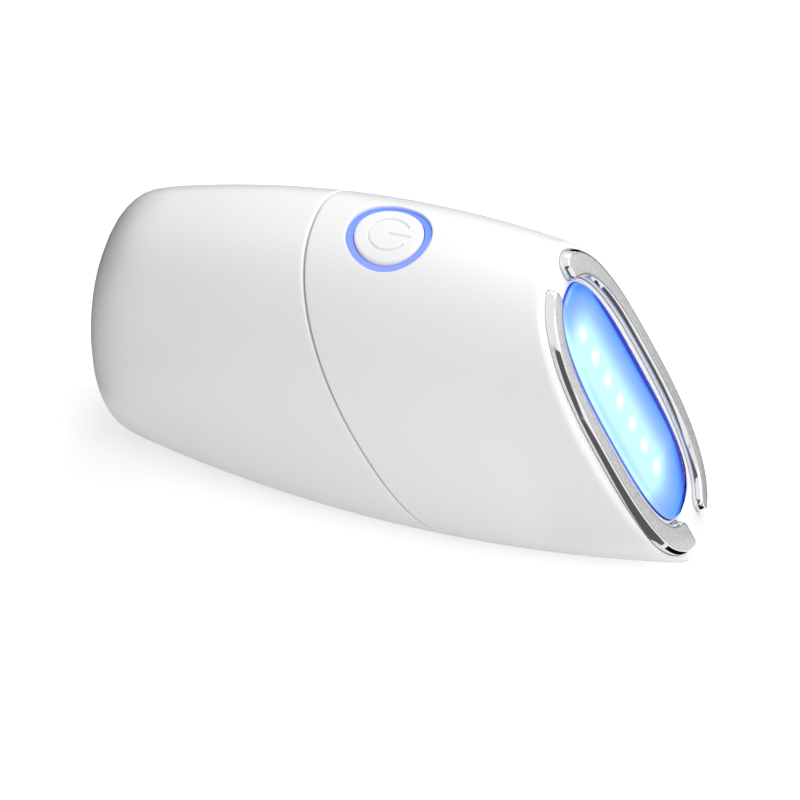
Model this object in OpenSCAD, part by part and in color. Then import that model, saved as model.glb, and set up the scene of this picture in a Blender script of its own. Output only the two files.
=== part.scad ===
// Hand-held light device for the face: a white oval shell with a slanted, lit face.
// X runs from the tail to the head, Z is up, and the origin is the middle of the flat underside.

/* [Body skin] */
// Half height of the oval section at the tail
tail_half_h = 19.1; // [18:0.1:20]
// Half height of the oval section at the fullest station
mid_half_h = 29.0; // [28:0.1:30]
// Half height of the oval section at the tip of the head
head_half_h = 25.6; // [25.4:0.1:26.2]
// Half width of the oval section at the tail
tail_half_w = 12.9; // [12:0.1:14]
// Half width of the oval section at the fullest station
mid_half_w = 16.7; // [16.2:0.1:18]
// Half width of the oval section at the tip of the head
head_half_w = 10.85; // [10.7:0.05:11.2]
// Drop of the section's centre below the axis at the tip of the head
head_drop = 2.0; // [1.5:0.1:2.5]
// Fullness of the oval section, where 2 is a true ellipse
section_power = 2.23; // [2.1:0.01:2.4]
// Length of the rounded tail
dome_len = 8.9; // [8:0.1:10]
// Fullness of the rounded tail
dome_power = 2.96; // [2.5:0.01:3.5]
// Nose-up angle of the body axis when the device stands on its flat
stand_tilt = 5; // [4.5:0.1:5.5]
// Wall thickness of the two shells
wall = 2.2; // [2:0.1:2.4]

/* [Seam and cover] */
// Place on the body axis where the rear cover meets the front housing
seam_x = 44.4; // [43:0.1:46]
// Backward lean of the seam for each mm of height
seam_slope = 0.425; // [0.40:0.005:0.44]
// Open width of the seam
seam_gap = 0.3; // [0.2:0.05:0.5]
// Length of the spigot that the cover slides over
spigot_len = 5.2; // [4:0.1:6]
// Clearance between the spigot and the cover
spigot_gap = 0.15; // [0.1:0.05:0.25]

/* [Lit face] */
// Place on the body axis where the face plane crosses it
face_x = 79.2; // [78:0.1:80]
// Angle between the body axis and the face plane
face_angle = 67.5; // [66.5:0.1:68.5]
// Centre of the window and of the strips along the face
face_mid = -1.9; // [-2.4:0.1:-1.4]
// Half length of the window
lens_half_l = 22.6; // [22:0.1:23]
// Half width of the window
lens_half_w = 7.3; // [7:0.1:7.5]
// Height of the window above the face
lens_proud = 0.55; // [0.3:0.05:0.8]
// Number of light-emitting diodes
led_count = 7; // [5:2:7]
// Distance between two diodes
led_pitch = 4.84; // [4.8:0.01:5]
// Half length of the outer edge of the two strips at their hooks
strip_half_l = 28.2; // [28:0.05:28.25]
// Half length of the outer edge of the two strips at their narrow ends
strip_narrow_l = 27.1; // [27:0.05:27.4]
// Half width of the outer edge of the two strips
strip_half_w = 12.0; // [11.9:0.05:12.05]
// Width of a strip's foot along its long side
strip_side = 2.9; // [2.8:0.05:2.95]
// Width of a strip's foot across its narrow end
strip_narrow = 2.9; // [2.8:0.05:3]
// Width of a strip's foot across its hook
strip_hook = 4.75; // [4.6:0.05:4.8]
// Height of a strip above the face
strip_h = 1.4; // [1.2:0.1:1.6]

/* [Button] */
// Place of the button along the body axis
button_x = 44.0; // [43:0.1:45]
// Lean of the button's axis from square to the body axis
button_lean = 4; // [3:0.5:5]
// Radius of the pressed cap
cap_r = 5.0; // [4.8:0.05:5.1]
// Outer radius of the lit ring
ring_r = 6.15; // [6:0.05:6.4]
// Travel of the button
button_travel = 0.6; // [0.4:0.1:0.7]

/* [Cells] */
// Radius of one battery cell, size AA
cell_r = 7.1; // [6.9:0.1:7.25]
// Length of one battery cell, with its tip
cell_len = 50.3; // [49.5:0.1:50.5]
// Distance between the two cells
cell_pitch = 16; // [16:0.1:16.4]

/* [Hidden] */

// Stations on the axis at which the tail, mid and head sizes are given.
tail_st = 0;
mid_st = 58;
head_st = 91;

// Points around each section, and the place of the ground and the origin.
sides = 48;
ground = 22.6;
origin_x = 48;

// Floor heights above the ground, for the insides that the flat would cut thin.
floor_in = wall;
socket_floor = 1.6;
spigot_floor = socket_floor + spigot_gap;
spigot_wall = 1.25;
socket_inset = 2.0;
socket_len = spigot_len + 0.5;
spigot_inset = socket_inset + spigot_gap;
shoulder_len = 4;
seal_len = 1.6;
seal_depth = 0.6;
seal_gap = 0.06;
seal_fit = 0.02;

// Depths behind the face plane.
face_slope = 1 / tan(face_angle);
face_wall = 2.4;
lip = 0.9;
lens_seal_t = 0.2;
flange_t = 0.9;
flange_side = 1.6;
flange_end = 0.4;
lens_fit = 0.1;
lens_roof = 1.45;
lens_wall = 1.4;
lens_power = 3.2;
lens_back = lip + lens_seal_t + flange_t;
flange_half_l = lens_half_l + flange_end;
flange_half_w = lens_half_w + flange_side;
board_front = 3.3;
led_board_t = 1.2;
led_size = 2.5;
led_base_h = 0.8;
led_dome_r = 0.95;
led_pocket_r = 1.95;
diffuser_front = -1.15;
diffuser_skin = 0.5;
diffuser_gap = 0.2;
face_edge = [[0.95, 0], [0.3, 0.22], [0, 0.8]];
groove = 0.5;
strip_power = 2.65;
strip_end = 2.5;
strip_tip = 3.3;
strip_steps = 34;
strip_bevel = 0.006;
strip_drop = 0.3;
strip_flank = [[0.4, 0.32], [0.5, 0.1], [0.66, 0]];
pin_r = 0.6;
pin_v = 10.0;
pin_u = 8;
pin_end = 2.9;
face_screw_u = [-26.5, 23.4];
face_pad_r = 1.5;
screw_r = 0.8;
head_r = 1.6;
head_t = 1.1;
led_board_mid = -1.2;
led_board_half = [26.4, 10.3];
led_board_power = 2.1;

// Heights under the skin at the button, along the button's own axis.
ring_in_r = cap_r + 0.08;
ring_sunk = 0.35;
cap_sunk = 0.1;
bore_r = ring_r + 0.05;
ring_flange_r = 7.6;
ring_flange = [-4.0, -3.2];
cap_flange_r = 5.9;
cap_flange = [-4.85, -4.15];
stem_r = 1.4;
stem_end = -5.2;
plunger_r = 1.7;
switch_top = cap_flange[0] - button_travel - 0.25;
plunger_end = switch_top - 1;
plunger_room = button_travel + 1.15;
switch_w = 6;
main_top = switch_top - 3.5;
main_t = 1.2;
main_box = [[-7, -9.5], [17, 9.5]];
post_r = 1.9;
post_at = [[-5.2, -7.7], [-5.2, 7.7], [14.4, -7.2], [14.4, 7.2]];
collar_r = 8.9;
drum_span = [-12, 20];
hole_end = -8;

// The battery holder, along X at the height of the two cells.
cell_z = 23;
cell_back = -40.4;
holder_wall = 1.4;
holder_fit = 0.2;
holder_back = cell_back + 0.8;
holder_front = cell_back + cell_len + 2.4;
terminal_t = 0.4;
holder_end = holder_front - cell_back - cell_len - terminal_t;
contact_back = cell_back - 2.4;
contact_post_r = 2.4;
contact_post_len = 3.4;
ear_y = 11.8;
ear_x = [3, 5];
ear_r = 1.8;
boss_r = 2.6;
boss_end = 17;
lead_r = 0.6;

// A value that runs through three given values at the three stations.
function through(x, tail, mid, head) =
    tail * (x - mid_st) * (x - head_st) / ((tail_st - mid_st) * (tail_st - head_st))
    + mid * (x - tail_st) * (x - head_st) / ((mid_st - tail_st) * (mid_st - head_st))
    + head * (x - tail_st) * (x - mid_st) / ((head_st - tail_st) * (head_st - mid_st));

function half_h(x) = through(x, tail_half_h, mid_half_h, head_half_h);
function half_w(x) = through(x, tail_half_w, mid_half_w, head_half_w);
function mid_line(x) = through(x, -0.2, 0, -head_drop);

// Share of the full section at x inside the rounded tail, for a skin inset by d.
function tail_share(x, d) =
    let (k = max(0, dome_len - x) / (dome_len - d))
    pow(max(0, 1 - pow(k, dome_power)), 1 / dome_power);

function bend(v, power) = sign(v) * pow(abs(v), 2 / power);
function skin_y(x, d, a) = (half_w(x) - d) * tail_share(x, d) * bend(cos(a), section_power);
function skin_z(x, d, a) = mid_line(x) + (half_h(x) - d) * tail_share(x, d) * bend(sin(a), section_power);

// The station where the skin meets a plane that leans back by slope, found in a few steps.
function settle(x0, slope, d, a, x, steps) =
    steps == 0 ? x : settle(x0, slope, d, a, x0 - slope * skin_z(x, d, a), steps - 1);

function to_row(p) = [
    p.x * cos(stand_tilt) - p.z * sin(stand_tilt) - origin_x,
    p.y,
    p.x * sin(stand_tilt) + p.z * cos(stand_tilt) + ground
];
function above(p, low) = [p.x, p.y, max(p.z, low)];
function skin_point(x0, slope, d, a) =
    let (x = settle(x0, slope, d, a, x0, 6))
    to_row([x, skin_y(x, d, a), skin_z(x, d, a)]);

// One closed ring of points on the skin inset by d, kept above the height low.
function skin_ring(x0, slope, d = 0, low = -10, n = sides) =
    [for (i = [0:n - 1]) above(skin_point(x0, slope, d, i * 360 / n), low)];
function pushed(ring, dx) = [for (p = ring) [p.x + dx, p.y, p.z]];
function plane_slope(x) = seam_slope * max(0, x - dome_len) / (seam_x - dome_len);

// A solid through a list of rings, closed by its first and last ring or joined end to end.
module loft(rings, looped = false) {
    n = len(rings[0]);
    m = len(rings);
    walls = [
        for (j = [0:m - (looped ? 1 : 2)], i = [0:n - 1])
        let (a = j * n + i, b = j * n + (i + 1) % n, c = (j + 1) % m * n + (i + 1) % n, e = (j + 1) % m * n + i)
        each [[a, e, c], [a, c, b]]
    ];
    first = [for (i = [0:n - 1]) i];
    last = [for (i = [n - 1:-1:0]) (m - 1) * n + i];
    polyhedron(points = [for (ring = rings) each ring], faces = looped ? walls : concat([first, last], walls));
}

module ground_cut() {
    translate([-100, -50, -20]) cube([200, 100, 20]);
}

// Frame of the face: X down the face, Y across it, Z out of it.
module on_face() {
    translate(to_row([face_x, 0, 0])) rotate([0, face_angle - stand_tilt, 0]) children();
}

// Frame along X at the given place and height, with Z turned to point along X.
module along_x(x, z) {
    translate([x, 0, z]) rotate([0, 90, 0]) children();
}

// Frame of the button: Z out of the skin along the button's axis.
module on_button() {
    translate(skin_point(button_x, 0, 0, 90)) rotate([0, -stand_tilt - button_lean, 0]) children();
}

// Closed oval of n points with the given half length, half width and fullness.
function oval(half_l, half_w, power, n = sides) =
    [for (i = [0:n - 1]) [half_l * bend(cos(i * 360 / n), power), half_w * bend(sin(i * 360 / n), power)]];
function at_z(outline, z) = [for (p = outline) [p.x, p.y, z]];

module oval_plate(half_l, half_w, power, z0, z1) {
    translate([0, 0, z0]) linear_extrude(z1 - z0) polygon(oval(half_l, half_w, power));
}

module screw(length) {
    cylinder(r = screw_r, h = length, $fn = 24);
    difference() {
        translate([0, 0, -head_t]) cylinder(r = head_r, h = head_t, $fn = 32);
        for (a = [0, 90])
            rotate([0, 0, a]) translate([-0.9, -0.2, -head_t - 0.1]) cube([1.8, 0.4, 0.7]);
    }
}

// Rear cover: a deep cup with a straight socket at its mouth and two posts for its contact.
cover_x = seam_x - seam_gap / 2;
dome_steps = 8;
function dome_ring(i, d) =
    let (f = 90 * (i - 0.6) / (dome_steps - 0.6))
    skin_ring(dome_len - (dome_len - d) * pow(cos(f), 2 / dome_power), 0, d, d > 0 ? floor_in : -10);
cover_stations = [14, 20, 26, 32, 38];

module rear_cover() {
    mouth = skin_ring(cover_x, seam_slope, socket_inset, socket_floor);
    inner_stations = [for (i = [4:-1:1]) cover_stations[i] - 4];
    color("white") difference() {
        union() {
            loft(concat(
                [for (i = [1:dome_steps - 1]) dome_ring(i, 0)],
                [skin_ring(dome_len, 0)],
                [for (x = cover_stations) skin_ring(x, plane_slope(x))],
                [skin_ring(cover_x - 0.25, seam_slope), skin_ring(cover_x, seam_slope, 0.2)],
                [mouth, pushed(mouth, -socket_len)],
                [for (x = inner_stations) skin_ring(x, plane_slope(x), wall, floor_in)],
                [for (i = [dome_steps:-1:1]) dome_ring(i, wall)]
            ));
            for (z = [-cell_pitch / 2, cell_pitch / 2])
                along_x(contact_back - contact_post_len, cell_z + z)
                    cylinder(r = contact_post_r, h = contact_post_len, $fn = 32);
        }
        ground_cut();
    }
}

// Front housing: shell, slanted face, spigot, and all bosses and seats for what it carries.
housing_x = seam_x + seam_gap / 2;
housing_stations = [50, 57, 64, 71];

// Ring round the spigot, below its outer wall by depth and ahead of its rear end by dx.
function spigot_ring(depth, dx) = pushed(
    skin_ring(cover_x, seam_slope, spigot_inset + depth, spigot_floor + depth), dx - spigot_len + seam_gap
);

module housing_shell() {
    back_wall = face_x - face_wall / sin(face_angle);
    loft(concat(
        [skin_ring(back_wall, face_slope, wall, floor_in)],
        [for (x = [70, 62, 54]) skin_ring(x, seam_slope, wall, floor_in)],
        [skin_ring(housing_x + shoulder_len, seam_slope, spigot_inset + spigot_wall, spigot_floor + spigot_wall)],
        [spigot_ring(spigot_wall, 0), spigot_ring(seal_depth, 0), spigot_ring(seal_depth, seal_len)],
        [spigot_ring(0, seal_len), spigot_ring(0, spigot_len)],
        [skin_ring(housing_x, seam_slope, 0.2), skin_ring(housing_x + 0.25, seam_slope)],
        [for (x = housing_stations) skin_ring(x, seam_slope)],
        [for (e = face_edge) skin_ring(face_x - e[0], face_slope, e[1])]
    ));
}

module front_housing() {
    color("white") difference() {
        union() {
            housing_shell();
            intersection() {
                skin_drum(wall / 2);
                on_button() {
                    translate([0, 0, ring_flange[0]]) cylinder(r = collar_r, h = 6, $fn = 64);
                    for (p = post_at)
                        translate([p.x, p.y, main_top]) cylinder(r = post_r, h = -main_top, $fn = 32);
                }
            }
            on_face() for (u = face_screw_u)
                translate([u, 0, -board_front]) cylinder(r = face_pad_r, h = board_front - 1.2, $fn = 32);
            for (side = [-1, 1])
                translate([ear_x[1], side * ear_y, cell_z]) rotate([0, 90, 0])
                    cylinder(r = boss_r, h = boss_end - ear_x[1], $fn = 32);
        }
        ground_cut();
        on_button() button_hole();
        on_face() face_cuts();
        for (side = [-1, 1])
            translate([ear_x[1] - 1, side * ear_y, cell_z]) rotate([0, 90, 0])
                cylinder(r = screw_r, h = 8, $fn = 24);
    }
}

module button_hole() {
    translate([0, 0, hole_end]) cylinder(r = bore_r, h = 12, $fn = 64);
    translate([0, 0, hole_end]) cylinder(r = ring_flange_r + 0.1, h = ring_flange[1] - hole_end, $fn = 64);
    for (p = post_at)
        translate([p.x, p.y, main_top - 1]) cylinder(r = screw_r, h = 5.2, $fn = 24);
}

module face_cuts() {
    translate([face_mid, 0, 0]) {
        oval_plate(lens_half_l + lens_fit, lens_half_w + lens_fit, lens_power, -5, 2);
        oval_plate(flange_half_l + lens_fit, flange_half_w + lens_fit, lens_power, -5, -lip);
        for (turn = [0, 180])
            rotate([0, 0, turn]) {
                translate([0, 0, -groove]) linear_extrude(4) polygon(strip_outline(0.05));
                for (u = [-pin_u, pin_u])
                    translate([u, pin_v, -4]) cylinder(r = pin_r + 0.05, h = 5, $fn = 24);
            }
    }
    for (u = face_screw_u)
        translate([u, 0, -board_front - 1]) cylinder(r = screw_r, h = board_front, $fn = 24);
}

module seam_seal() {
    rim = seal_gap - spigot_gap;
    seat = seal_depth - seal_fit;
    color("dimgray") loft([
        spigot_ring(rim, 0), spigot_ring(rim, seal_len - seal_fit),
        spigot_ring(seat, seal_len - seal_fit), spigot_ring(seat, 0)
    ], looped = true);
}

// Window: a crowned plate with a flange behind the face and a hollow for the diodes.
function lens_ring(z, d) = at_z(oval(lens_half_l - d, lens_half_w - d, lens_power), z);
function flange_ring(z) = at_z(oval(flange_half_l, flange_half_w, lens_power), z);

module lens() {
    color("deepskyblue") on_face() translate([face_mid, 0, 0]) loft([
        lens_ring(lens_proud - lens_roof, lens_wall), lens_ring(-lens_back, lens_wall),
        flange_ring(-lens_back), flange_ring(-lip - lens_seal_t),
        lens_ring(-lip - lens_seal_t, 0), lens_ring(lens_proud - 0.45, 0),
        lens_ring(lens_proud - 0.13, 0.13), lens_ring(lens_proud, 0.5),
        lens_ring(lens_proud + 0.12, 2.2), lens_ring(lens_proud + 0.2, 5)
    ]);
}

module lens_seal() {
    color("dimgray") on_face() translate([face_mid, 0, 0]) difference() {
        oval_plate(flange_half_l, flange_half_w, lens_power, -lip - lens_seal_t, -lip);
        oval_plate(lens_half_l + 0.1, lens_half_w + 0.1, lens_power, -3, 1);
    }
}

// One strip runs along a long side and hooks round one end; the other is the same, turned half round.
// It is swept from its narrow end to its hook through pairs of outer and inner edge points.
function strip_angle(v, half) = asin(pow(v / half, strip_power / 2));
function on_oval(half_l, half_w, a) = [half_l * bend(cos(a), strip_power), half_w * bend(sin(a), strip_power)];
function mixed(a, b, share) = a * (1 - share) + b * share;

strip_in_w = strip_half_w - strip_side;
tip_outer = strip_angle(strip_tip, strip_half_w);
tip_inner = strip_angle(strip_tip, strip_in_w);
hook_outer = 180 - strip_angle(strip_end, strip_half_w);
hook_inner = 180 - strip_angle(strip_end, strip_in_w);

function strip_pair(share) =
    let (
        a_out = mixed(tip_outer, hook_outer, share),
        a_in = mixed(tip_inner, hook_inner, share)
    )
    [
        on_oval(a_out < 90 ? strip_narrow_l : strip_half_l, strip_half_w, a_out),
        on_oval(a_in < 90 ? strip_narrow_l - strip_narrow : strip_half_l - strip_hook, strip_in_w, a_in)
    ];
strip_pairs = [
    for (share = concat([0, strip_bevel], [for (i = [1:strip_steps - 1]) i / strip_steps], [1 - strip_bevel, 1]))
        strip_pair(share)
];

// Section at a pair of edge points: upright in its groove, then with two sloped flanks under rounded edges.
// The two ends have their top lower by drop.
function strip_section(pair, drop) =
    let (
        out = pair[0],
        in = pair[1],
        way = (out - in) / norm(out - in),
        top = strip_h - drop,
        last = len(strip_flank) - 1
    )
    [
        [in.x, in.y, -groove], [in.x, in.y, 0],
        each [for (e = strip_flank) [in.x + way.x * e[0], in.y + way.y * e[0], top - e[1]]],
        each [
            for (i = [last:-1:0])
            let (e = strip_flank[i])
            [out.x - way.x * e[0], out.y - way.y * e[0], top - e[1]]
        ],
        [out.x, out.y, 0], [out.x, out.y, -groove]
    ];

function strip_outline(grow) = concat(
    [for (pair = strip_pairs) pair[0] + (pair[0] - pair[1]) / norm(pair[0] - pair[1]) * grow],
    [for (i = [len(strip_pairs) - 1:-1:0])
        let (pair = strip_pairs[i]) pair[1] - (pair[0] - pair[1]) / norm(pair[0] - pair[1]) * grow]
);

module contact_strip(turn) {
    color("silver") on_face() translate([face_mid, 0, 0]) rotate([0, 0, turn]) {
        last = len(strip_pairs) - 1;
        loft([for (i = [0:last]) strip_section(strip_pairs[i], i == 0 || i == last ? strip_drop : 0)]);
        for (u = [-pin_u, pin_u])
            translate([u, pin_v, -pin_end]) cylinder(r = pin_r, h = pin_end - groove + 0.2, $fn = 24);
    }
}

module contact_strip_upper() {
    contact_strip(0);
}

module contact_strip_lower() {
    contact_strip(180);
}

// Bent leaf springs on the diode board that press on the strips' pins.
module strip_springs() {
    leaf = [[-1.6, 0], [0.2, 0], [1.6, 0.3], [1.6, 0.4], [0.1, 0.12], [-1.6, 0.12]];
    color("gold") on_face() translate([face_mid, 0, -board_front])
        for (turn = [0, 180], u = [-pin_u, pin_u])
            rotate([0, 0, turn]) translate([u - 1, pin_v - 0.5, 0]) rotate([90, 0, 0])
                translate([0, 0, -0.4]) linear_extrude(0.8) polygon(leaf);
}

// Diffuser plate that closes the hollow of the window, with a pocket behind for each diode.
module reflector() {
    hollow_l = lens_half_l - lens_wall - diffuser_gap;
    hollow_w = lens_half_w - lens_wall - diffuser_gap;
    color("whitesmoke") on_face() translate([face_mid, 0, 0]) difference() {
        union() {
            oval_plate(flange_half_l - 0.1, flange_half_w - 0.2, lens_power, -board_front, -lens_back);
            oval_plate(hollow_l, hollow_w, lens_power, -board_front, diffuser_front);
        }
        for (i = [0:led_count - 1])
            translate([(i - (led_count - 1) / 2) * led_pitch, 0, -board_front - 1])
                cylinder(r = led_pocket_r, h = board_front + 1 + diffuser_front - diffuser_skin, $fn = 32);
    }
}

module led_board() {
    color("ivory") on_face() difference() {
        translate([led_board_mid, 0, 0])
            oval_plate(
                led_board_half.x, led_board_half.y, led_board_power,
                -board_front - led_board_t, -board_front
            );
        for (u = face_screw_u)
            translate([u, 0, -6]) cylinder(r = screw_r + 0.2, h = 4, $fn = 24);
    }
}

module led_chips() {
    color("lightyellow") on_face() translate([face_mid, 0, -board_front])
        for (i = [0:led_count - 1])
            translate([(i - (led_count - 1) / 2) * led_pitch, 0, 0]) {
                translate([-led_size / 2, -led_size / 2, 0]) cube([led_size, led_size, led_base_h]);
                intersection() {
                    translate([0, 0, led_base_h - 0.2]) sphere(r = led_dome_r, $fn = 24);
                    translate([-2, -2, led_base_h / 2]) cube([4, 4, 3]);
                }
            }
}

module face_screws() {
    color("gray") on_face() for (u = face_screw_u)
        translate([u, 0, -board_front - led_board_t]) screw(3.4);
}

// A drum of skin near the button, from which the cap and the ring take their curved tops.
module skin_drum(d) {
    loft([for (x = [drum_span[0]:4:drum_span[1]]) skin_ring(button_x + x, 0, d, -10, 96)]);
}

module button_cap() {
    color("white") {
        intersection() {
            skin_drum(cap_sunk);
            on_button() translate([0, 0, cap_flange[0] + 0.1]) cylinder(r = cap_r, h = 8, $fn = 64);
        }
        on_button() translate([0, 0, cap_flange[0]])
            cylinder(r = cap_flange_r, h = cap_flange[1] - cap_flange[0], $fn = 64);
        on_button() translate([0, 0, stem_end]) cylinder(r = stem_r, h = 1, $fn = 32);
    }
}

module button_ring() {
    color("cornflowerblue") intersection() {
        skin_drum(ring_sunk);
        on_button() difference() {
            union() {
                translate([0, 0, ring_flange[0]]) cylinder(r = ring_r, h = 7, $fn = 64);
                translate([0, 0, ring_flange[0]])
                    cylinder(r = ring_flange_r, h = ring_flange[1] - ring_flange[0], $fn = 64);
            }
            translate([0, 0, hole_end]) cylinder(r = ring_in_r, h = 14, $fn = 64);
        }
    }
}

module switch_body() {
    color("dimgray") on_button() difference() {
        union() {
            translate([-switch_w / 2, -switch_w / 2, main_top]) cube([switch_w, switch_w, switch_top - main_top]);
            for (x = [-2.25, 2.25], side = [-1, 1])
                translate([x - 0.35, side * 3.3 - 0.4, main_top]) cube([0.7, 0.8, 1.6]);
        }
        translate([0, 0, switch_top - plunger_room]) cylinder(r = plunger_r + 0.1, h = 3, $fn = 32);
    }
}

module switch_plunger() {
    color("black") on_button() translate([0, 0, plunger_end])
        cylinder(r = plunger_r, h = stem_end - plunger_end, $fn = 32);
}

module ring_leds() {
    color("lightyellow") on_button() for (a = [45:90:315])
        rotate([0, 0, a]) translate([5.7, -0.65, main_top]) cube([1.7, 1.3, 0.8]);
}

module main_board() {
    color("darkgreen") on_button() difference() {
        translate([main_box[0].x, main_box[0].y, main_top - main_t])
            cube([main_box[1].x - main_box[0].x, main_box[1].y - main_box[0].y, main_t]);
        for (p = post_at)
            translate([p.x, p.y, main_top - 3]) cylinder(r = screw_r + 0.2, h = 5, $fn = 24);
    }
}

module board_screws() {
    color("gray") on_button() for (p = post_at)
        translate([p.x, p.y, main_top - main_t]) screw(4.8);
}

module control_chip() {
    color("black") on_button() translate([8.2, -5, main_top]) {
        translate([0, 1, 0.15]) cube([5, 3.9, 1.45]);
        for (i = [0:3], side = [0, 1])
            translate([0.5 + i * 1.2, side * 4.6 + 0.15, 0]) cube([0.4, 1, 0.6]);
    }
}

module boost_coil() {
    color("dimgray") on_button() translate([11, 3.8, main_top]) difference() {
        cylinder(r = 2.9, h = 3, $fn = 48);
        translate([0, 0, 0.6]) difference() {
            cylinder(r = 3.5, h = 1.8, $fn = 48);
            cylinder(r = 2.2, h = 1.8, $fn = 48);
        }
    }
}

module capacitors() {
    color("steelblue") on_button() for (y = [-4.2, 4.2])
        translate([4, y, main_top - main_t - 4]) cylinder(r = 2, h = 4, $fn = 32);
}

// Flat ribbon between the front edge of the main board and the back of the diode board.
module led_ribbon() {
    t = 0.2;
    bends = [[14.6, -10.62], [18, -11.2], [21, -13.2], [23, -16], [23.8, -19.2]];
    path = concat(bends, [for (i = [len(bends) - 1:-1:0]) bends[i] + [t, t]]);
    color("orange") on_button() translate([0, 3, 0]) rotate([90, 0, 0]) linear_extrude(6) polygon(path);
}

module holder_section(grow) {
    half = cell_pitch / 2;
    for (z = [-half, half])
        translate([-z, 0]) circle(r = cell_r + holder_fit + grow, $fn = 64);
    translate([-half, -5.5 - grow]) square([cell_pitch, 11 + 2 * grow]);
}

// Battery holder: two barrels side by side, open to the rear, windowed on both sides.
module battery_holder() {
    length = holder_front - holder_back;
    color("gainsboro") difference() {
        union() {
            along_x(holder_back, cell_z) linear_extrude(length) holder_section(holder_wall);
            translate([ear_x[0], -ear_y, cell_z - ear_r]) cube([ear_x[1] - ear_x[0], 2 * ear_y, 2 * ear_r]);
            for (side = [-1, 1])
                translate([ear_x[0], side * ear_y, cell_z]) rotate([0, 90, 0])
                    cylinder(r = ear_r, h = ear_x[1] - ear_x[0], $fn = 32);
        }
        for (z = [-cell_pitch / 2, cell_pitch / 2])
            along_x(holder_back - 1, cell_z + z)
                cylinder(r = cell_r + holder_fit, h = length + 1 - holder_end, $fn = 64);
        for (z = [-cell_pitch / 2, cell_pitch / 2])
            translate([holder_back + 8, -15, cell_z + z - 4]) cube([26, 30, 8]);
        for (side = [-1, 1])
            translate([ear_x[0] - 1, side * ear_y, cell_z]) rotate([0, 90, 0])
                cylinder(r = screw_r + 0.2, h = 5, $fn = 24);
        for (z = [-cell_pitch / 2, cell_pitch / 2])
            translate([holder_front - 3, -1.6, cell_z + z - 1.6]) cube([6, 3.2, 3.2]);
    }
}

// Each cell has its tip towards the head in the lower barrel and towards the tail in the upper one.
module cell() {
    cylinder(r = cell_r, h = cell_len - 1.2, $fn = 64);
    cylinder(r = 2.7, h = cell_len, $fn = 32);
}

module battery_cells() {
    color("slategray") {
        along_x(cell_back, cell_z - cell_pitch / 2) cell();
        translate([cell_back + cell_len, 0, cell_z + cell_pitch / 2]) rotate([0, -90, 0]) cell();
    }
}

module terminal(z) {
    front = cell_back + cell_len;
    translate([front, -4.5, cell_z + z - 4.5]) cube([terminal_t, 9, 9]);
    translate([front, -1.4, cell_z + z - 1.4]) cube([3.4, 2.8, terminal_t]);
}

module terminal_plus() {
    color("gold") terminal(-cell_pitch / 2);
}

module terminal_minus() {
    color("gold") terminal(cell_pitch / 2);
}

// Round lead through a list of points, as one swept tube.
module lead(route, r) {
    n = 8;
    last = len(route) - 1;
    loft([
        for (j = [0:last])
        let (
            way = route[min(j + 1, last)] - route[max(j - 1, 0)],
            z = way / norm(way),
            x = cross([0, 1, 0], z) / norm(cross([0, 1, 0], z)),
            y = cross(z, x)
        )
        [for (i = [0:n - 1]) route[j] + r * (x * cos(i * 360 / n) + y * sin(i * 360 / n))]
    ]);
}

module battery_leads() {
    tab = cell_back + cell_len + 2.9;
    for (z = [-cell_pitch / 2, cell_pitch / 2]) {
        low = cell_z + z - 1.4 + terminal_t + lead_r * 0.95;
        y = z < 0 ? 0.7 : -0.7;
        color(z < 0 ? "red" : "black") lead([
            [tab, y, low], [tab + 1.6, y, low + 0.5], [tab + 2.6, 2 * y, low + 2.6], [tab + 2.6, 3 * y, 38],
            [tab, 4 * y, 41.6], [tab - 5, 5 * y, 43.4], [tab - 6.2, 5 * y, 44.6], [tab - 6.2, 5 * y, 46.3]
        ], lead_r);
    }
}

module holder_screws() {
    color("gray") for (side = [-1, 1])
        translate([ear_x[0], side * ear_y, cell_z]) rotate([0, 90, 0]) screw(8);
}

// Sprung bridge in the rear cover: a plate with a bowed tongue for each cell.
module cover_contact() {
    bow = [[0, -5], [2.25, -1.2], [2.25, 1.2], [0.4, 5], [0.15, 4.9], [1.9, 1.1], [1.9, -1.1], [0, -4.2]];
    color("gold") {
        difference() {
            translate([contact_back, -5, cell_z - 13.5]) cube([terminal_t, 10, 27]);
            for (z = [-cell_pitch / 2, cell_pitch / 2])
                along_x(contact_back - 1, cell_z + z) cylinder(r = 1.2, h = 3, $fn = 24);
        }
        for (z = [-cell_pitch / 2, cell_pitch / 2])
            translate([contact_back, -2, cell_z + z]) rotate([90, 0, 180]) mirror([1, 0, 0])
                linear_extrude(4) polygon(bow);
    }
}

front_housing();
rear_cover();
seam_seal();
lens();
lens_seal();
contact_strip_upper();
contact_strip_lower();
strip_springs();
reflector();
led_board();
led_chips();
face_screws();
button_cap();
button_ring();
switch_body();
switch_plunger();
ring_leds();
main_board();
board_screws();
control_chip();
boost_coil();
capacitors();
led_ribbon();
battery_holder();
battery_cells();
terminal_plus();
terminal_minus();
battery_leads();
holder_screws();
cover_contact();
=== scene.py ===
import math

import bmesh
import bpy
from mathutils import Matrix, Vector
from mathutils.geometry import interpolate_bezier


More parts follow.
